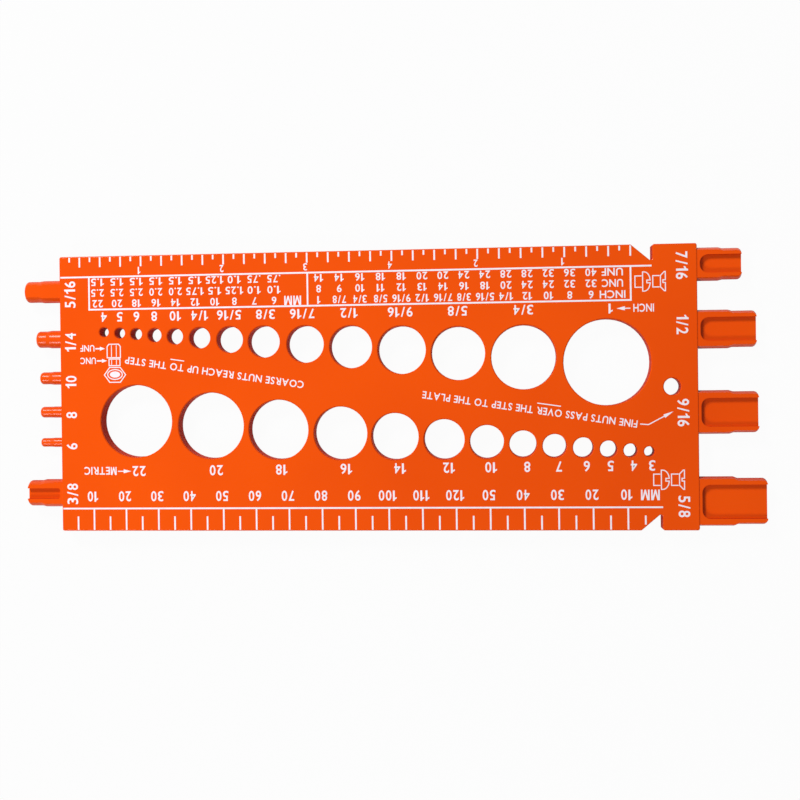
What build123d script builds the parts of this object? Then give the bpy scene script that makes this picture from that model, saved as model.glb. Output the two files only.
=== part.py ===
from build123d import *
import os
from collections import namedtuple

# Thread gauge: one moulded plate with a row of inch holes, a row of metric holes,
# a ruler along each long edge, and stepped posts for checking nuts on both ends.
# The zero end of both rulers is the low X end, and +Z leaves the marked face.

INCH = 25.4

# Plate
plate_width = 83.5
plate_thickness = 6.0
corner_radius = 0.6
edge_radius = 0.3
rim_bevel = 0.25

# Each ruler ends at the wall of a slanted notch
inch_ruler_length = 7 * INCH
metric_ruler_length = 180.0
notch_length = 6.2
notch_depth = 5.3

# The end block that carries the large posts stands past the longer ruler
end_block_length = 10.5
plate_length = max(inch_ruler_length, metric_ruler_length) + end_block_length

# Gauge holes: diameter, and distance of the centre from the zero end
Hole = namedtuple("Hole", "diameter x")
metric_holes = [
    Hole(22.0, 23.4),
    Hole(20.0, 46.4),
    Hole(18.0, 67.0),
    Hole(16.0, 85.7),
    Hole(14.0, 102.0),
    Hole(12.0, 116.6),
    Hole(10.0, 129.2),
    Hole(8.0, 139.8),
    Hole(7.0, 149.0),
    Hole(6.0, 157.3),
    Hole(5.0, 164.6),
    Hole(4.0, 170.9),
    Hole(3.0, 176.3),
]
inch_holes = [
    Hole(0.112 * INCH, 13.7),
    Hole(0.125 * INCH, 18.6),
    Hole(0.138 * INCH, 23.7),
    Hole(0.164 * INCH, 29.4),
    Hole(0.190 * INCH, 35.7),
    Hole(1 / 4 * INCH, 43.3),
    Hole(5 / 16 * INCH, 52.5),
    Hole(3 / 8 * INCH, 62.9),
    Hole(7 / 16 * INCH, 75.4),
    Hole(1 / 2 * INCH, 89.1),
    Hole(9 / 16 * INCH, 104.3),
    Hole(5 / 8 * INCH, 121.0),
    Hole(3 / 4 * INCH, 140.3),
    Hole(1 * INCH, 164.5),
]

# Each row of holes follows a straight line that falls towards the far end.
# The metric row is placed from the low edge and the inch row from the high one.
metric_row_y = 33.2
metric_row_fall = 0.0664
inch_row_inset = 23.1
inch_row_fall = 0.0739

# Hole for hanging the gauge up, beside the far end
hang_diameter = 5.0
hang_end_inset = 7.4
hang_hole_y = 41.9
hang_hole = Hole(hang_diameter, plate_length - hang_end_inset)

# Posts: the tip takes a coarse nut and the wider base a fine one.
# The highest post of each end is placed from the high edge, the others from the low one.
first_small_post_inset = 10.4
first_large_post_inset = 6.0
Post = namedtuple("Post", "tip base length base_length y")
small_posts = [
    Post(6.40, 6.78, 11.2, 6.3, plate_width - first_small_post_inset),
    Post(4.98, 5.36, 8.0, 4.2, 58.5),
    Post(3.68, 3.96, 7.2, 3.6, 46.6),
    Post(3.30, 3.40, 7.2, 3.6, 36.2),
    Post(2.64, 2.82, 7.2, 3.6, 26.9),
]
cored_small_post = Post(7.80, 8.38, 11.0, 6.3, 11.4)
large_posts = [
    Post(9.14, 9.73, 12.8, 6.9, plate_width - first_large_post_inset),
    Post(10.60, 11.30, 16.8, 9.5, 58.5),
    Post(11.99, 12.75, 17.2, 9.6, 34.3),
    Post(13.39, 14.35, 19.4, 10.6, 8.3),
]
post_root = 3.0
step_slope = 1.2
small_tip_radius = 1.0
large_tip_radius = 1.1
flat_setback = 0.25

# Recesses that lighten the wide posts, on both faces, open at the tip
recess_depth = 1.5
recess_start = 0.8
small_recess_corner = 0.6
large_recess_corner = 2.4
small_rib = 2.6
large_rib = 2.2

# Printed marks on the top face
ink_thickness = 0.05
line_width = 0.6
metric_line_y = 6.8
metric_step = 5.0
metric_short_tick = 4.4
inch_line_inset = 6.3
inch_step = INCH / 8
inch_short_tick = 1.7
inch_long_tick = 3.3
table_start = 9.0
table_end = 171.7
table_divider = 76.3
table_height = 9.9

post_axis_z = plate_thickness / 2
left_reach = max(post.length for post in [*small_posts, cored_small_post])
right_reach = max(post.length for post in large_posts)


def row_y(hole, row, start_y, fall):
    """Height of a hole's centre on its row's sloping line."""
    return start_y - fall * (hole.x - row[0].x)


def make_outline():
    """The plate from above, with a slanted notch at the end of each ruler."""
    points = [
        (0, 0),
        (metric_ruler_length - notch_length, 0),
        (metric_ruler_length, notch_depth),
        (metric_ruler_length, 0),
        (plate_length, 0),
        (plate_length, plate_width),
        (inch_ruler_length, plate_width),
        (inch_ruler_length, plate_width - notch_depth),
        (inch_ruler_length - notch_length, plate_width),
        (0, plate_width),
    ]
    outline = make_face(Polyline(*points, close=True))
    return fillet(outline.vertices(), corner_radius)


def cut_holes(plate):
    """Both rows of gauge holes and the hanging hole, with bevelled rims."""
    inch_row_y = plate_width - inch_row_inset
    centres = [(hole, row_y(hole, metric_holes, metric_row_y, metric_row_fall)) for hole in metric_holes]
    centres += [(hole, row_y(hole, inch_holes, inch_row_y, inch_row_fall)) for hole in inch_holes]
    centres.append((hang_hole, hang_hole_y))
    for hole, y in centres:
        radius = hole.diameter / 2
        bore = Cylinder(radius, plate_thickness, align=(Align.CENTER, Align.CENTER, Align.MIN))
        plate -= Pos(hole.x, y, 0) * bore
    rims = plate.edges().filter_by(GeomType.CIRCLE).filter_by(
        lambda edge: edge.is_closed and edge.radius > 2 * corner_radius
    )
    return chamfer(rims, rim_bevel)


def make_plate():
    plate = extrude(make_outline(), plate_thickness)
    faces = [plate.faces().sort_by(Axis.Z)[0], plate.faces().sort_by(Axis.Z)[-1]]
    plate = fillet([edge for face in faces for edge in face.outer_wire().edges()], edge_radius)
    return cut_holes(plate)


def make_post(post, tip_radius):
    """A stepped round post along +X from the plate's end, flat where it is wider than the plate."""
    base = post.base / 2
    tip = post.tip / 2
    points = [
        (-post_root, 0),
        (-post_root, base),
        (post.base_length - step_slope / 2, base),
        (post.base_length + step_slope / 2, tip),
        (post.length, tip),
        (post.length, 0),
    ]
    profile = make_face(Polyline(*points, close=True))
    corner = profile.vertices().sort_by(lambda vertex: vertex.X + vertex.Y)[-1]
    profile = fillet(corner, min(tip_radius, 0.6 * tip))
    solid = revolve(profile, Axis.X)
    return solid & Box(4 * post.length, 2 * post.base, plate_thickness - 2 * flat_setback)


def cut_recess(solid, post, rib, corner_size):
    """Sink a round-cornered pocket into both faces, running out through the tip."""
    width = post.base - 2 * rib
    run = 2 * post.length
    pocket = Pos(recess_start + run / 2, 0) * Rectangle(run, width)
    corners = pocket.vertices().sort_by(Axis.X)[:2]
    pocket = fillet(corners, min(corner_size, 0.49 * width))
    face_z = plate_thickness / 2 - flat_setback
    cutter = extrude(pocket, recess_depth + flat_setback)
    solid -= Pos(0, 0, face_z - recess_depth) * cutter
    solid -= Pos(0, 0, -face_z + recess_depth) * mirror(cutter, Plane.XY)
    return solid


def place_right(solid, post):
    return Pos(plate_length, post.y, post_axis_z) * solid


def place_left(solid, post):
    return Pos(0, post.y, post_axis_z) * Rot(0, 0, 180) * solid


def make_gauge():
    gauge = make_plate()
    for post in small_posts:
        gauge += place_left(make_post(post, small_tip_radius), post)
    cored = make_post(cored_small_post, small_tip_radius)
    cored = cut_recess(cored, cored_small_post, small_rib, small_recess_corner)
    gauge += place_left(cored, cored_small_post)
    for post in large_posts:
        solid = cut_recess(make_post(post, large_tip_radius), post, large_rib, large_recess_corner)
        gauge += place_right(solid, post)
    return gauge


def bar(x_low, x_high, y_low, y_high):
    """One printed stroke on the top face."""
    stroke = Box(x_high - x_low, y_high - y_low, ink_thickness, align=(Align.MIN, Align.MIN, Align.MIN))
    return Pos(x_low, y_low, plate_thickness) * stroke


def upright(x, y_low, y_high):
    return bar(x - line_width / 2, x + line_width / 2, y_low, y_high)


def level(x_low, x_high, y):
    return bar(x_low, x_high, y - line_width / 2, y + line_width / 2)


def metric_marks():
    """A line with a tick every 5 mm; each tick on a ten reaches the line."""
    marks = [level(edge_radius, metric_ruler_length, metric_line_y)]
    notch_start = metric_ruler_length - notch_length
    for number in range(1, int(metric_ruler_length / metric_step)):
        x = number * metric_step
        top = metric_line_y if number % 2 == 0 else metric_short_tick
        slant = max(0, x - notch_start + line_width) * notch_depth / notch_length
        marks.append(upright(x, slant + edge_radius, top))
    return marks


def inch_marks():
    """A line with a tick every eighth of an inch, longer on the quarters."""
    line_y = plate_width - inch_line_inset
    marks = [level(edge_radius, inch_ruler_length - edge_radius, line_y)]
    last = inch_ruler_length - notch_length
    for number in range(1, int(last / inch_step) + 1):
        reach = inch_long_tick if number % 2 == 0 else inch_short_tick
        marks.append(upright(number * inch_step, plate_width - reach, plate_width - edge_radius))
    return marks


def table_marks():
    """The frame of the pitch table, hung from the inch ruler's line."""
    line_y = plate_width - inch_line_inset
    foot_y = line_y - table_height
    sides = [upright(x, foot_y, line_y) for x in (table_start, table_divider, table_end)]
    return [level(table_start, table_end, foot_y), *sides]


def make_marks():
    strokes = [*metric_marks(), *inch_marks(), *table_marks()]
    first, *others = strokes
    return first.fuse(*others)


# The origin is under the middle of the whole gauge, posts included
middle = Pos(-(plate_length + right_reach - left_reach) / 2, -plate_width / 2, 0)

os.makedirs("parts", exist_ok=True)
export_step(middle * make_gauge(), "parts/gauge_plate.step")
export_step(middle * make_marks(), "parts/ruler_marks.step")
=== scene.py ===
import math
import bmesh
import bpy
from collections import namedtuple
from mathutils import Matrix, Vector


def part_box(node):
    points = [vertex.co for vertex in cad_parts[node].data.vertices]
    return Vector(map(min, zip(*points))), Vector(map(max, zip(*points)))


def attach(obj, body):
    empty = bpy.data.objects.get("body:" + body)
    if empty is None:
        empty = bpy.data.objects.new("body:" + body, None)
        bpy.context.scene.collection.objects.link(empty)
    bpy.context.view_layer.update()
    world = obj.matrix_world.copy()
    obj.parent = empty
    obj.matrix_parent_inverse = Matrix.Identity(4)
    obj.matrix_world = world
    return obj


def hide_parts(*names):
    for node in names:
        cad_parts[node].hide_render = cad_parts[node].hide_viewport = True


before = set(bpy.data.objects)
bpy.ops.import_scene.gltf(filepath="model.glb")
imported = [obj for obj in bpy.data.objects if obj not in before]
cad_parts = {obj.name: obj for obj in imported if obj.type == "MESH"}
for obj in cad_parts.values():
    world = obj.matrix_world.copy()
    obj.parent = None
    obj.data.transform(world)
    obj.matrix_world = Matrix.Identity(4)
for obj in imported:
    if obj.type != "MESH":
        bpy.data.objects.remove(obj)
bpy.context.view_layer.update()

MM = 0.001
INCH = 25.4

# Plate, in millimetres from its zero corner: the zero end of the rulers, on the metric side
plate_width = 83.5
edge_radius = 0.3
metric_length = 180.0
inch_length = 7 * INCH
notch_length = 6.2
notch_depth = 5.3
plate_low, plate_high = [Vector(corner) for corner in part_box("gauge_plate")]
marks_low = Vector(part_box("ruler_marks")[0])
zero_corner = Vector((marks_low.x - edge_radius * MM, plate_low.y, plate_high.z))

# Ink
ink_height = 0.05
line_width = 0.5
half_line = line_width / 2
thin_line = 0.3

# Ruler lines and ticks
metric_step = 5.0
metric_line_y = 6.8
metric_short_tick = 4.4
inch_step = INCH / 8
inch_line_inset = 6.3
inch_line_y = plate_width - inch_line_inset
inch_short_tick = 1.7
inch_long_tick = 3.3

# Ruler numbers: most count up from the zero end, and the last few count back from the shoulder
metric_number_step = 10
metric_numbers_up = 12
metric_numbers_back = 5
metric_number_height = 3.1
metric_number_y = 10.4
metric_number_shift = 0.4
metric_unit_x = 176.4
inch_numbers_up = 4
inch_numbers_back = 2
inch_number_height = 2.2
inch_number_inset = 4.6
inch_number_y = plate_width - inch_number_inset
inch_number_shift = 0.5

# Pitch table, hung from the inch ruler's line: rows of fine pitches, coarse pitches and sizes
table_start = 9.0
table_divider = 76.3
table_end = 171.7
table_height = 9.9
table_foot_y = inch_line_y - table_height
table_first_row = 1.65
table_row_step = 3.28
metric_column_x = 11.9
metric_column_step = 6.03
metric_rows = [
    "1.5 1.5 1.5 1.5 1.5 1.5 1.25 1.0 .75 .75",
    "2.5 2.5 2.5 2.0 2.0 1.75 1.5 1.25 1.0 1.0",
    "22 20 18 16 14 12 10 8 7 6",
]
inch_column_x = 79.7
inch_column_step = 6.18
inch_rows = [
    "14 14 16 18 18 20 20 24 24 28 28 32 36 40 UNF",
    "8 9 10 11 12 13 14 16 18 20 24 24 32 32 UNC",
    "1 7/8 3/4 5/8 9/16 1/2 7/16 3/8 5/16 1/4 12 10 8 6 INCH",
]

# Table figures: short ones are stretched by a share, and longer ones are fitted to a length
figure_height = 2.3
figure_stretch = 1.15
three_sign_length = 4.0
four_sign_length = 5.4
unit_lengths = {"UNF": 6.1, "UNC": 6.1, "INCH": 7.4}
pitch_unit_x = 71.8
pitch_unit_drop = 8.2
pitch_unit_height = 2.8
pitch_unit_length = 5.1

# Size beside each hole: its words and how far from the zero end they are centred
metric_names = [
    ("22", 24.1), ("20", 47.9), ("18", 67.8), ("16", 87.3), ("14", 103.4), ("12", 117.9), ("10", 130.3),
    ("8", 140.9), ("7", 150.1), ("6", 158.2), ("5", 165.1), ("4", 171.8), ("3", 177.0),
]
metric_name_y = 17.9
metric_name_rise = 0.0055
metric_name_height = 3.1
metric_name_stretch = 1.07
inch_names = [
    ("4", 13.8), ("5", 18.7), ("6", 23.9), ("8", 29.4), ("10", 35.9), ("1/4", 43.4), ("5/16", 52.4),
    ("3/8", 63.5), ("7/16", 74.6), ("1/2", 88.7), ("9/16", 104.0), ("5/8", 121.0), ("3/4", 140.3),
    ("1", 165.6),
]
inch_name_y = 64.9
inch_name_height = 2.9
inch_name_stretch = 1.14

# Unit of each row of holes: the word, and an arrow that points at the row's largest size
unit_height = 2.4
unit_head_length = 2.4
unit_head_width = 1.2
metric_word_place = (12.1, 18.2)
metric_word_length = 10.0
metric_arrow = [(17.5, 18.1), (21.7, 18.1)]
inch_word_place = (175.1, 64.9)
inch_word_length = 5.9
inch_arrow = [(171.3, 64.9), (167.3, 64.9)]

# Post names and how far up the plate each is written
left_posts = [("5/16", 72.0), ("1/4", 57.5), ("10", 45.4), ("8", 35.3), ("6", 25.8), ("3/8", 11.3)]
right_posts = [("7/16", 77.1), ("1/2", 59.9), ("9/16", 34.3), ("5/8", 7.0)]
left_name_x = 3.2
right_name_x = 186.2
post_name_height = 3.4
post_name_stretch = 1.06

# Notes on the nuts, each along a slanted line, with a bar under a stretch of its words
note_height = 2.2
coarse_note_start = (20.2, 51.8)
coarse_note_end = (74.8, 43.6)
coarse_note_bar = (13.9, 18.1)
fine_note_start = (110.3, 40.3)
fine_note_end = (172.9, 31.0)
fine_note_bar = (33.8, 40.7)
fine_note_arrow = [(173.7, 31.1), (176.1, 30.9), (183.3, 34.7)]
fine_note_head_length = 3.0
fine_note_head_width = 1.1

# Names of the drawn post's two steps, each with an arrow
step_name_height = 2.0
fine_name_place = (8.5, 55.5)
fine_name_length = 4.4
fine_name_arrow = [(11.0, 55.4), (14.0, 55.4)]
coarse_name_place = (8.7, 51.7)
coarse_name_length = 4.8
coarse_name_arrow = [(11.4, 51.7), (14.6, 51.7)]
step_arrow_width = 0.42
step_head_length = 1.6
step_head_width = 1.2

# Drawing of a stepped post that stands on a nut
drawn_base = [(14.65, 52.6), (18.75, 52.6), (18.75, 56.0), (18.2, 56.7), (15.2, 56.7), (14.65, 56.0)]
drawn_tip = [(15.2, 50.2), (18.6, 50.2), (18.6, 52.2), (15.2, 52.2)]
drawn_flat_edges = (16.0, 17.5)
drawn_flat_line = 0.22
base_flat_reach = (52.85, 56.4)
tip_flat_reach = (50.45, 51.95)
nut_x = 17.0
nut_y = 47.4
nut_face_y = 47.5
nut_sides = 6
nut_reach = (3.3, 2.6)
nut_rim_reach = (2.3, 1.5)
nut_bore_reach = (1.6, 0.95)
round_sides = 16

# Drawings of two pairs of screws along the plate, a domed and a countersunk one in each pair:
# where a screw starts, where its head begins and where it ends
Screw = namedtuple("Screw", "start head end")
upper_screws = (Screw(172.7, 174.9, 177.1), Screw(177.8, 180.0, 181.4))
upper_screws_y = 72.6
lower_screws = (Screw(177.4, 179.6, 181.9), Screw(182.5, 184.8, 186.2))
lower_screws_y = 14.8
half_shank = 1.65
half_head = 2.8
half_slot = 0.4
head_gap = 0.25
dome_brim = 0.45
dome_slot_depth = 1.0
dome_points = 7
dome_first_turn = 12
dome_turn_step = 13
cone_brim = 0.3
cone_slot_depth = 0.7


def new_object(name, data):
    piece = bpy.data.objects.new(name, data)
    bpy.context.collection.objects.link(piece)
    return piece


def finish_mesh(build, name):
    """Turns a closed bmesh into a mesh whose faces point outwards."""
    bmesh.ops.recalc_face_normals(build, faces=build.faces)
    mesh = bpy.data.meshes.new(name)
    build.to_mesh(mesh)
    build.free()
    return mesh


def evaluated_mesh(holder):
    """The finished mesh of a curve or a modifier, without its holder."""
    bpy.context.view_layer.update()
    evaluated = holder.evaluated_get(bpy.context.evaluated_depsgraph_get())
    mesh = bpy.data.meshes.new_from_object(evaluated)
    bpy.data.objects.remove(holder)
    return mesh


def on_plate(x, y, height=0):
    """A point over the top face, in the frame's metres."""
    return zero_corner + Vector((x * MM, y * MM, height * MM))


def from_plate(x=0, y=0):
    """Takes millimetres about a point of the top face into the frame."""
    return Matrix.Translation(on_plate(x, y)) @ Matrix.Scale(MM, 4)


# Nodes that the materials and the ruler ticks are made of

def feed(tree, socket, value):
    """Sets an input to a plain value, or links another node's output to it."""
    if isinstance(value, bpy.types.NodeSocket):
        tree.links.new(value, socket)
    else:
        socket.default_value = value


def add_node(tree, kind, inputs):
    node = tree.nodes.new(kind)
    for name, value in inputs.items():
        feed(tree, node.inputs[name], value)
    return node


def work_out(tree, operation, *values, clamp=False):
    """One step of arithmetic on plain numbers and other nodes' outputs."""
    node = tree.nodes.new("ShaderNodeMath")
    node.operation = operation
    node.use_clamp = clamp
    for socket, value in zip(node.inputs, values):
        feed(tree, socket, value)
    return node.outputs["Value"]


# Materials: noise scales count patches to the metre, bump depths are in metres, and turns in radians

noise_low = 0.3
noise_high = 0.7
noise_detail = 3.0


def new_material(name):
    """A material with its node tree and its plain shader."""
    material = bpy.data.materials.new(name)
    material.use_nodes = True
    return material, material.node_tree, material.node_tree.nodes["Principled BSDF"]


def object_coords(tree):
    return tree.nodes.new("ShaderNodeTexCoord").outputs["Object"]


def noise(tree, coords, scale, detail=noise_detail):
    inputs = {"Vector": coords, "Scale": scale, "Detail": detail}
    return add_node(tree, "ShaderNodeTexNoise", inputs).outputs["Fac"]


def ramp(tree, value, low, high, start=noise_low, end=noise_high):
    """Runs from low to high while a value, such as a noise, runs from start to end."""
    inputs = {"Value": value, "From Min": start, "From Max": end, "To Min": low, "To Max": high}
    return add_node(tree, "ShaderNodeMapRange", inputs).outputs["Result"]


def blend_colours(tree, share, first, second):
    node = tree.nodes.new("ShaderNodeMix")
    node.data_type = "RGBA"
    for name, value in (("Factor", share), ("A", first), ("B", second)):
        feed(tree, node.inputs[name], value)
    return node.outputs["Result"]


def bump(tree, value, strength, depth):
    inputs = {"Height": value, "Strength": strength, "Distance": depth}
    return add_node(tree, "ShaderNodeBump", inputs).outputs["Normal"]


# Orange plastic: its flat faces are glossy, and its upright walls are duller and carry painted shade, a
# darker orange
face_orange = (0.94, 0.094, 0.0005, 1)
drifted_orange = (0.87, 0.080, 0.0005, 1)
# Painted shade: the darker orange of upright walls, such as the holes'
painted_wall_shade_orange = (0.62, 0.030, 0.0005, 1)
drift_scale = 18.0
rub_scale = 120.0
rub_detail = 5.0
glossy_roughness = 0.16
rubbed_roughness = 0.24
wall_dulling = 0.5
upright_rise = 0.1
sloping_rise = 0.5
plastic_specular = 0.2
scratch_scales = (60.0, 2600.0, 60.0)
scratch_turn = (0, 0, 0.09)
scratch_detail = 2.0
scratch_strength = 0.02
scratch_depth = 0.00002


def side_walls(tree):
    """1 on walls that stand upright, such as a hole's, and 0 on what faces up or down."""
    normal = tree.nodes.new("ShaderNodeTexCoord").outputs["Normal"]
    parts = add_node(tree, "ShaderNodeSeparateXYZ", {"Vector": normal})
    rise = work_out(tree, "ABSOLUTE", parts.outputs["Z"])
    return ramp(tree, rise, 1.0, 0.0, upright_rise, sloping_rise)


def moulded_orange():
    """Glossy orange plastic: slow drifts of colour, rubbed patches, hair scratches along the plate, and
    painted shade on upright walls.
    """
    material, tree, body = new_material("moulded_orange")
    coords = object_coords(tree)
    wall_shade_and_dulling = side_walls(tree)
    drift = ramp(tree, noise(tree, coords, drift_scale), 0.0, 1.0)
    face = blend_colours(tree, drift, face_orange, drifted_orange)
    # Painted shade darkens upright walls; the same mask also makes them duller below
    feed(tree, body.inputs["Base Color"], blend_colours(tree, wall_shade_and_dulling, face, painted_wall_shade_orange))
    rubs = noise(tree, coords, rub_scale, rub_detail)
    roughness = ramp(tree, rubs, glossy_roughness, rubbed_roughness)
    feed(tree, body.inputs["Roughness"], work_out(tree, "MULTIPLY_ADD", wall_shade_and_dulling, wall_dulling, roughness))
    along = {"Vector": coords, "Scale": scratch_scales, "Rotation": scratch_turn}
    stretched = add_node(tree, "ShaderNodeMapping", along).outputs["Vector"]
    scratches = noise(tree, stretched, 1.0, scratch_detail)
    feed(tree, body.inputs["Normal"], bump(tree, scratches, scratch_strength, scratch_depth))
    body.inputs["Specular IOR Level"].default_value = plastic_specular
    return material


# White ink: a little thin in places, with a dry grain
full_white = (0.98, 0.93, 1.0, 1)
thin_white = (0.92, 0.82, 0.88, 1)
thin_scale = 900.0
smooth_roughness = 0.45
dry_roughness = 0.6
dry_scale = 2500.0
grain_scale = 4000.0
grain_strength = 0.1
grain_depth = 0.00001


def printed_white():
    """Ink that is pad-printed on the plastic."""
    material, tree, body = new_material("printed_white")
    coords = object_coords(tree)
    thin = ramp(tree, noise(tree, coords, thin_scale), 0.0, 1.0)
    feed(tree, body.inputs["Base Color"], blend_colours(tree, thin, full_white, thin_white))
    dry = noise(tree, coords, dry_scale)
    feed(tree, body.inputs["Roughness"], ramp(tree, dry, smooth_roughness, dry_roughness))
    grain = noise(tree, coords, grain_scale)
    feed(tree, body.inputs["Normal"], bump(tree, grain, grain_strength, grain_depth))
    return material


# Floor: a pale matte surface that looks near white to the camera and still takes a shadow
floor_shade = 0.5
floor_roughness = 0.9
floor_glow_share = 0.96


def floor_white():
    """The floor's own grey, nearly covered by plain white wherever the camera or a reflection sees it."""
    material, tree, body = new_material("floor_white")
    body.inputs["Base Color"].default_value = (floor_shade, floor_shade, floor_shade, 1)
    body.inputs["Roughness"].default_value = floor_roughness
    path = tree.nodes.new("ShaderNodeLightPath")
    seen = path.outputs["Is Camera Ray"]
    for ray in ("Is Glossy Ray", "Is Transmission Ray"):
        seen = work_out(tree, "ADD", seen, path.outputs[ray], clamp=True)
    share = work_out(tree, "MULTIPLY", seen, floor_glow_share)
    glow = add_node(tree, "ShaderNodeEmission", {"Strength": 1.0})
    mix = add_node(tree, "ShaderNodeMixShader", {"Fac": share})
    tree.links.new(body.outputs["BSDF"], mix.inputs[1])
    tree.links.new(glow.outputs["Emission"], mix.inputs[2])
    tree.links.new(mix.outputs["Shader"], tree.nodes["Material Output"].inputs["Surface"])
    return material


orange = moulded_orange()
white_ink = printed_white()


# Ruler ticks

def combined(tree, **parts):
    """A vector from its X, Y and Z, with 0 for those that are left out."""
    return add_node(tree, "ShaderNodeCombineXYZ", parts).outputs["Vector"]


def tick_tree():
    """A run of bars from the plate's edge, short and long by turns."""
    tree = bpy.data.node_groups.new("ruler_ticks", "GeometryNodeTree")
    tree.interface.new_socket("Geometry", in_out="OUTPUT", socket_type="NodeSocketGeometry")
    tree.interface.new_socket("Count", in_out="INPUT", socket_type="NodeSocketInt")
    for name in ("Step", "Short", "Long", "Width", "Height"):
        tree.interface.new_socket(name, in_out="INPUT", socket_type="NodeSocketFloat")
    tree.interface.new_socket("Ink", in_out="INPUT", socket_type="NodeSocketMaterial")
    sizes = tree.nodes.new("NodeGroupInput").outputs
    output = tree.nodes.new("NodeGroupOutput")

    step = combined(tree, X=sizes["Step"])
    run = {"Count": sizes["Count"], "Start Location": step, "Offset": step}
    points = add_node(tree, "GeometryNodeMeshLine", run).outputs["Mesh"]

    # One bar of unit length, which starts at its point and stands on the plate
    bar_size = combined(tree, X=sizes["Width"], Y=1.0, Z=sizes["Height"])
    block = add_node(tree, "GeometryNodeMeshCube", {"Size": bar_size}).outputs["Mesh"]
    foot = combined(tree, Y=0.5, Z=work_out(tree, "MULTIPLY", sizes["Height"], 0.5))
    stand = add_node(tree, "GeometryNodeTransform", {"Geometry": block, "Translation": foot})

    # Its length by turns: the turn is 0 for a short tick and 1 for a long one
    place_in_run = tree.nodes.new("GeometryNodeInputIndex").outputs["Index"]
    turn = work_out(tree, "MODULO", place_in_run, 2.0)
    lengths = {"Factor": turn, "A": sizes["Short"], "B": sizes["Long"]}
    scale = combined(tree, X=1.0, Y=add_node(tree, "ShaderNodeMix", lengths).outputs["Result"], Z=1.0)

    bars = {"Points": points, "Instance": stand.outputs["Geometry"], "Scale": scale}
    copies = add_node(tree, "GeometryNodeInstanceOnPoints", bars)
    real = add_node(tree, "GeometryNodeRealizeInstances", {"Geometry": copies.outputs["Instances"]})
    inked = add_node(tree, "GeometryNodeSetMaterial",
                     {"Geometry": real.outputs["Geometry"], "Material": sizes["Ink"]})
    tree.links.new(inked.outputs["Geometry"], output.inputs["Geometry"])
    return tree


def ticks(tree, count, step, short, long, place):
    """One ruler's ticks as a plain mesh, moved to its place on the plate."""
    holder = new_object("ticks", bpy.data.meshes.new("ticks"))
    modifier = holder.modifiers.new("ticks", "NODES")
    modifier.node_group = tree
    sizes = {"Count": count, "Step": step * MM, "Short": short * MM, "Long": long * MM,
             "Width": line_width * MM, "Height": ink_height * MM, "Ink": white_ink}
    for socket in tree.interface.items_tree:
        if socket.in_out == "INPUT":
            modifier[socket.identifier] = sizes[socket.name]
    mesh = evaluated_mesh(holder)
    mesh.transform(place)
    return mesh


# Printed strokes, all closed slabs on the top face

def slab(points, height):
    """A closed slab with the outline of the points, from the ground up."""
    build = bmesh.new()
    low = [build.verts.new((x, y, 0)) for x, y in points]
    high = [build.verts.new((x, y, height)) for x, y in points]
    build.faces.new(low[::-1])
    build.faces.new(high)
    for index in range(len(points)):
        build.faces.new((low[index - 1], low[index], high[index], high[index - 1]))
    return finish_mesh(build, "slab")


def printed_shape(points):
    """A solid printed shape through points on the plate."""
    mesh = slab([tuple(point) for point in points], ink_height)
    mesh.transform(from_plate())
    return mesh


def bar(x_low, x_high, y_low, y_high):
    return printed_shape([(x_low, y_low), (x_high, y_low), (x_high, y_high), (x_low, y_high)])


def upright(x, y_low, y_high):
    return bar(x - half_line, x + half_line, y_low, y_high)


def level(x_low, x_high, y):
    return bar(x_low, x_high, y - half_line, y + half_line)


def mitred_sides(points, width, closed):
    """Both edges of an even line through the points."""
    left, right = [], []
    for index, point in enumerate(points):
        here = Vector(point)
        into = out = None
        if closed or index > 0:
            into = (here - Vector(points[index - 1])).normalized()
        if closed or index < len(points) - 1:
            out = (Vector(points[(index + 1) % len(points)]) - here).normalized()
        into = into or out
        out = out or into
        middle = (into + out).normalized()
        across = Vector((-middle.y, middle.x))
        reach = width / 2 / across.dot(Vector((-into.y, into.x)))
        left.append(here + across * reach)
        right.append(here - across * reach)
    return left, right


def line(points, width=thin_line):
    """An open printed line with mitred corners."""
    left, right = mitred_sides(points, width, closed=False)
    return printed_shape(left + right[::-1])


def ring(points, width=thin_line):
    """A closed printed line with mitred corners."""
    build = bmesh.new()
    edges = []
    for side in mitred_sides(points, width, closed=True):
        for height in (0, ink_height):
            edges.append([build.verts.new((corner.x, corner.y, height)) for corner in side])
    left_low, left_high, right_low, right_high = edges
    around = [left_low, left_high, right_high, right_low]
    for first, second in zip(around, around[1:] + around[:1]):
        for index in range(len(points)):
            build.faces.new((first[index - 1], first[index], second[index], second[index - 1]))
    mesh = finish_mesh(build, "ring")
    mesh.transform(from_plate())
    return mesh


def arrow(points, head_length, head_width, width=thin_line):
    """A printed arrow along the points, with a solid triangular head at the last one."""
    tip = Vector(points[-1])
    along = (tip - Vector(points[-2])).normalized()
    across = Vector((-along.y, along.x)) * head_width / 2
    neck = tip - along * head_length
    head = printed_shape([tip, neck + across, neck - across])
    return [head, line([*points[:-1], tuple(neck)], width)]


def oval(x, y, reach, sides):
    """Points of an oval with a reach along and across, or of a flattened polygon with few sides."""
    turns = [math.tau * side / sides for side in range(sides)]
    return [(x + reach[0] * math.cos(turn), y + reach[1] * math.sin(turn)) for turn in turns]


# Lettering: each letter is made once, as a slab one unit thick, with capitals one unit high

cap_share = 0.73
stroke_gain = 0.02
curve_steps = 3
letter_gap = 0.14
word_gap = 0.39
figure_width = 0.54
letter_narrowing = 0.9

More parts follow.
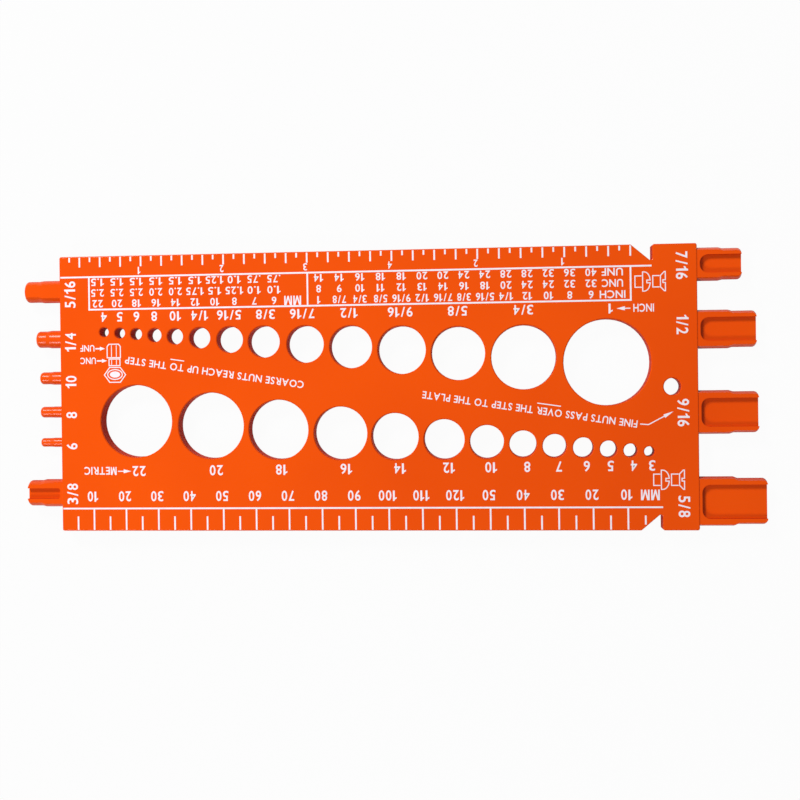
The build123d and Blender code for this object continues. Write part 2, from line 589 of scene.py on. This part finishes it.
# Two signs with outlines of their own
figure_one = [
    (0.20, 0), (0.38, 0), (0.38, 1), (0.24, 1), (0.19, 0.86), (0.02, 0.76), (0.02, 0.62), (0.20, 0.70),
]
letter_m = [
    (0, 0), (0.15, 0), (0.15, 0.72), (0.34, 0), (0.46, 0), (0.65, 0.72), (0.65, 0), (0.80, 0), (0.80, 1),
    (0.58, 1), (0.40, 0.33), (0.22, 1), (0, 1),
]
drawn_letters = {"1": figure_one, "M": letter_m}
glyphs = {}


def font_letter(letter):
    """A letter of the plain built-in font, with slightly bolder strokes."""
    curve = bpy.data.curves.new("letter", "FONT")
    curve.body = letter
    curve.size = 1 / cap_share
    curve.resolution_u = curve_steps
    curve.offset = stroke_gain
    curve.extrude = 0.5
    mesh = evaluated_mesh(new_object("letter", curve))
    mesh.transform(Matrix.Translation((0, 0, curve.extrude)))
    return mesh


def width_share(letter, width):
    """Drawn letters keep their width, figures get one width, and other letters are narrowed."""
    if letter in drawn_letters:
        return 1.0
    return figure_width / width if letter.isdigit() else letter_narrowing


def glyph(letter):
    """A letter's closed slab and its width, in cap heights."""
    if letter not in glyphs:
        mesh = slab(drawn_letters[letter], 1.0) if letter in drawn_letters else font_letter(letter)
        low = min(vertex.co.x for vertex in mesh.vertices)
        width = max(vertex.co.x for vertex in mesh.vertices) - low
        share = width_share(letter, width)
        mesh.transform(Matrix.Diagonal((share, 1, 1, 1)) @ Matrix.Translation((-low, 0, 0)))
        glyphs[letter] = (mesh, width * share)
    return glyphs[letter]


def lettering(words, x, y, height, angle=180, stretch=1.0, length=None):
    """Printed words centred on a point, read from the inch ruler's side unless turned.

    They are stretched along by a share, or to a length where one is given.
    """
    placed = []
    reach = -letter_gap
    for letter in words:
        if letter == " ":
            reach += word_gap
            continue
        mesh, width = glyph(letter)
        placed.append((mesh, reach + letter_gap))
        reach += letter_gap + width
    if length:
        stretch = length / (reach * height)
    turned = Matrix.Rotation(math.radians(angle), 4, "Z")
    sized = Matrix.Diagonal((height * stretch, height, ink_height, 1))
    place = from_plate(x, y) @ turned @ sized
    meshes = []
    for mesh, start in placed:
        printed = mesh.copy()
        printed.transform(place @ Matrix.Translation((start - reach / 2, -0.5, 0)))
        meshes.append(printed)
    return meshes


def printed_piece(name, meshes):
    """Joins printed meshes into one piece of white ink that lies on the gauge."""
    build = bmesh.new()
    for mesh in meshes:
        build.from_mesh(mesh)
    for face in build.faces:
        face.material_index = 0
    mesh = bpy.data.meshes.new(name)
    build.to_mesh(mesh)
    build.free()
    mesh.materials.append(white_ink)
    piece = new_object(name, mesh)
    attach(piece, "root")
    return piece


# The print, group by group

def metric_ticks(tree):
    """Short and long ticks in turn, and a last short one that starts on the notch's slant."""
    notch_start = metric_length - notch_length
    count = int(notch_start / metric_step)
    last_x = (count + 1) * metric_step
    last_foot = (last_x - notch_start + line_width) * notch_depth / notch_length + edge_radius
    short = metric_short_tick - edge_radius
    long = metric_line_y - edge_radius - half_line
    place = Matrix.Translation(on_plate(0, edge_radius))
    run = ticks(tree, count, metric_step, short, long, place)
    return [run, upright(last_x, last_foot, metric_short_tick)]


def inch_ticks(tree):
    """Ticks of an eighth and a quarter of an inch, which hang from the high edge."""
    count = int((inch_length - notch_length) / inch_step)
    short = inch_short_tick - edge_radius
    long = inch_long_tick - edge_radius
    half_turn = Matrix.Rotation(math.pi, 4, "Z")
    place = Matrix.Translation(on_plate(0, plate_width - edge_radius)) @ half_turn
    return ticks(tree, count, -inch_step, short, long, place)


def ruler_lines():
    """Both rulers' lines and ticks, and the frame of the pitch table."""
    tree = tick_tree()
    metric_run, last_tick = metric_ticks(tree)
    side_low = table_foot_y + half_line
    side_high = inch_line_y - half_line
    return [
        metric_run,
        inch_ticks(tree),
        last_tick,
        level(edge_radius, metric_length, metric_line_y),
        level(edge_radius, inch_length - edge_radius, inch_line_y),
        level(table_start, table_end, table_foot_y),
        upright(table_start + half_line, side_low, side_high),
        upright(table_divider, side_low, side_high),
        upright(table_end - half_line, side_low, side_high),
    ]


def ruler_numbers():
    """Numbers beside the ticks, counted from the zero end and back from each shoulder."""
    meshes = []
    for count in range(1, metric_numbers_up + 1):
        number = count * metric_number_step
        x = number - metric_number_shift
        meshes += lettering(str(number), x, metric_number_y, metric_number_height)
    for count in range(1, metric_numbers_back + 1):
        number = count * metric_number_step
        x = metric_length - number - metric_number_shift
        meshes += lettering(str(number), x, metric_number_y, metric_number_height)
    meshes += lettering("MM", metric_unit_x, metric_number_y, metric_number_height)
    for number in range(1, inch_numbers_up + 1):
        x = number * INCH - inch_number_shift
        meshes += lettering(str(number), x, inch_number_y, inch_number_height)
    for number in range(1, inch_numbers_back + 1):
        x = inch_length - number * INCH - inch_number_shift
        meshes += lettering(str(number), x, inch_number_y, inch_number_height)
    return meshes


def hole_names():
    """The size printed beside each hole, and the unit of each row with its arrow."""
    meshes = []
    for name, x in metric_names:
        y = metric_name_y + metric_name_rise * x
        meshes += lettering(name, x, y, metric_name_height, stretch=metric_name_stretch)
    for name, x in inch_names:
        meshes += lettering(name, x, inch_name_y, inch_name_height, stretch=inch_name_stretch)
    meshes += lettering("METRIC", *metric_word_place, unit_height, length=metric_word_length)
    meshes += arrow(metric_arrow, unit_head_length, unit_head_width)
    meshes += lettering("INCH", *inch_word_place, unit_height, length=inch_word_length)
    meshes += arrow(inch_arrow, unit_head_length, unit_head_width)
    return meshes


def table_rows(rows, first_x, step):
    """One side of the pitch table, from its row nearest the ruler's line."""
    lengths = {3: three_sign_length, 4: four_sign_length}
    meshes = []
    for number, row in enumerate(rows):
        y = inch_line_y - table_first_row - number * table_row_step
        for column, word in enumerate(row.split()):
            x = first_x + column * step
            length = unit_lengths.get(word, lengths.get(len(word)))
            meshes += lettering(word, x, y, figure_height, stretch=figure_stretch, length=length)
    return meshes


def table_figures():
    """Thread pitches: metric on the left, threads to the inch on the right."""
    meshes = table_rows(metric_rows, metric_column_x, metric_column_step)
    meshes += table_rows(inch_rows, inch_column_x, inch_column_step)
    unit_y = inch_line_y - pitch_unit_drop
    meshes += lettering("MM", pitch_unit_x, unit_y, pitch_unit_height, length=pitch_unit_length)
    return meshes


def post_names():
    """The size of each post, written across the plate's ends."""
    meshes = []
    for name, y in left_posts:
        meshes += lettering(name, left_name_x, y, post_name_height, angle=90, stretch=post_name_stretch)
    for name, y in right_posts:
        meshes += lettering(name, right_name_x, y, post_name_height, angle=-90, stretch=post_name_stretch)
    return meshes


def slanted_note(words, start, end, bar_reach):
    """Words along a slanted line, with a bar under them between two distances from the line's start."""
    run = Vector(end) - Vector(start)
    middle = (Vector(start) + Vector(end)) / 2
    angle = math.degrees(math.atan2(run.y, run.x)) + 180
    meshes = lettering(words, middle.x, middle.y, note_height, angle=angle, length=run.length)
    along = run.normalized()
    up = Vector((-along.y, along.x))
    first, last = [Vector(start) + along * reach + up * note_height for reach in bar_reach]
    meshes.append(line([tuple(first), tuple(last)]))
    return meshes


def nut_notes():
    """Which nuts each step of a post is for, beside the drawing of a post and a nut."""
    coarse_words = "COARSE NUTS REACH UP TO THE STEP"
    fine_words = "FINE NUTS PASS OVER THE STEP TO THE PLATE"
    step_head = (step_head_length, step_head_width)
    meshes = slanted_note(coarse_words, coarse_note_start, coarse_note_end, coarse_note_bar)
    meshes += slanted_note(fine_words, fine_note_start, fine_note_end, fine_note_bar)
    meshes += lettering("UNF", *fine_name_place, step_name_height, length=fine_name_length)
    meshes += lettering("UNC", *coarse_name_place, step_name_height, length=coarse_name_length)
    meshes += arrow(fine_name_arrow, *step_head, step_arrow_width)
    meshes += arrow(coarse_name_arrow, *step_head, step_arrow_width)
    meshes += arrow(fine_note_arrow, fine_note_head_length, fine_note_head_width)
    return meshes


def post_drawing():
    """A stepped post that stands on a hex nut."""
    meshes = [ring(drawn_base), ring(drawn_tip)]
    for x in drawn_flat_edges:
        for low, high in (base_flat_reach, tip_flat_reach):
            meshes.append(line([(x, low), (x, high)], drawn_flat_line))
    meshes.append(ring(oval(nut_x, nut_y, nut_reach, nut_sides)))
    meshes.append(ring(oval(nut_x, nut_face_y, nut_rim_reach, round_sides)))
    meshes.append(printed_shape(oval(nut_x, nut_face_y, nut_bore_reach, round_sides)))
    return meshes


def screw_shank(screw, y):
    """A shank's outline, open towards its head."""
    end = screw.head - head_gap
    high = y + half_shank
    low = y - half_shank
    return line([(end, high), (screw.start, high), (screw.start, low), (end, low)])


def screw_head(upper_half, y):
    """A head's outline, from the points of its upper half and how far each rises from the middle."""
    upper = [(x, y + rise) for x, rise in upper_half]
    lower = [(x, y - rise) for x, rise in upper_half[::-1]]
    return ring(upper + lower)


def domed_head(screw, y):
    """A round head with a slot cut into its crown."""
    arc = []
    for number in range(dome_points):
        turn = math.radians(dome_first_turn + dome_turn_step * number)
        x = screw.head + dome_brim + (screw.end - screw.head - dome_brim) * math.cos(turn)
        arc.append((x, half_head * math.sin(turn)))
    slot_floor = (screw.end - dome_slot_depth, half_slot)
    slot_mouth = (arc[0][0], half_slot)
    return screw_head([slot_floor, slot_mouth, *arc[1:], (screw.head, half_head)], y)


def countersunk_head(screw, y):
    """A flat head that tapers to its shank, with a slot cut into it."""
    slot_floor = (screw.end - cone_slot_depth, half_slot)
    slot_mouth = (screw.end, half_slot)
    brim = [(screw.end, half_head), (screw.end - cone_brim, half_head)]
    return screw_head([slot_floor, slot_mouth, *brim, (screw.head, half_shank)], y)


def screw_pair(domed, countersunk, y):
    """A domed and a countersunk screw in line."""
    return [
        domed_head(domed, y),
        screw_shank(domed, y),
        countersunk_head(countersunk, y),
        screw_shank(countersunk, y),
    ]


def drawings():
    """Plain line drawings: a stepped post over a hex nut, and two pairs of screws."""
    meshes = post_drawing()
    meshes += screw_pair(*upper_screws, upper_screws_y)
    meshes += screw_pair(*lower_screws, lower_screws_y)
    return meshes


def dress_plate():
    """Gives the moulding its orange plastic."""
    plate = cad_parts["gauge_plate"]
    plate.data.materials.clear()
    plate.data.materials.append(orange)


dress_plate()
rulers = printed_piece("ruler_print", ruler_lines())
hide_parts("ruler_marks")
printed_piece("ruler_numbers", ruler_numbers())
printed_piece("hole_names", hole_names())
printed_piece("table_figures", table_figures())
printed_piece("post_names", post_names())
printed_piece("nut_notes", nut_notes())
printed_piece("line_drawings", drawings())


# Floor, lamps and world, in the frame's metres

floor_reach = 2.5
lamp_size = 0.18
upper_lamp_place = (-0.30, 0.45, 0.50)
upper_lamp_watts = 3.9
lower_lamp_place = (-0.30, -0.45, 0.50)
lower_lamp_watts = 2.0
world_strength = 0.25


def add_floor():
    """A wide square that the gauge's low face lies on."""
    mesh = bpy.data.meshes.new("floor")
    reach = floor_reach
    corners = [(-reach, -reach, 0), (reach, -reach, 0), (reach, reach, 0), (-reach, reach, 0)]
    mesh.from_pydata(corners, [], [(0, 1, 2, 3)])
    mesh.transform(Matrix.Translation((0, 0, plate_low.z)))
    mesh.materials.append(floor_white())
    new_object("floor", mesh)


def light_world():
    """An even white light from all around."""
    world = bpy.data.worlds.new("studio")
    bpy.context.scene.world = world
    world.use_nodes = True
    background = world.node_tree.nodes["Background"]
    background.inputs["Color"].default_value = (1, 1, 1, 1)
    background.inputs["Strength"].default_value = world_strength


def add_lamp(name, place, power):
    """A soft square lamp that faces the middle of the gauge."""
    lamp = bpy.data.lights.new(name, "AREA")
    lamp.size = lamp_size
    lamp.energy = power
    holder = new_object(name, lamp)
    holder.location = place
    holder.rotation_euler = (-Vector(place)).to_track_quat("-Z", "Y").to_euler()


# Camera: lengths in millimetres, its place and aim from the plate's zero corner, and its roll in degrees

camera_place = (130.7, 46.4, 376.3)
camera_aim = (93.55, 44.9)
camera_roll = -0.70
picture_pixels = 800
focal_pixels = 1270
sensor_width = 36.0
camera_shift_x = 0.0425
camera_shift_y = -0.025
camera_near = 10.0


def add_camera():
    """The viewpoint above the plate, to the right of its middle and turned a little to the left."""
    place = on_plate(*camera_place)
    aim = on_plate(*camera_aim)
    roll = math.radians(camera_roll)
    camera = bpy.data.cameras.new("camera")
    camera.sensor_width = sensor_width
    camera.lens = sensor_width * (focal_pixels / picture_pixels)
    camera.shift_x = camera_shift_x
    camera.shift_y = camera_shift_y
    camera.clip_start = camera_near * MM
    holder = new_object("camera", camera)
    back = (place - aim).normalized()
    side = Vector((math.cos(roll), math.sin(roll), 0))
    side = (side - back * side.dot(back)).normalized()
    up = back.cross(side)
    turn = Matrix((side, up, back)).transposed().to_4x4()
    holder.matrix_world = Matrix.Translation(place) @ turn
    bpy.context.scene.camera = holder


add_floor()
light_world()
add_lamp("upper_lamp", upper_lamp_place, upper_lamp_watts)
add_lamp("lower_lamp", lower_lamp_place, lower_lamp_watts)
add_camera()
bpy.context.scene.view_settings.view_transform = "Standard"
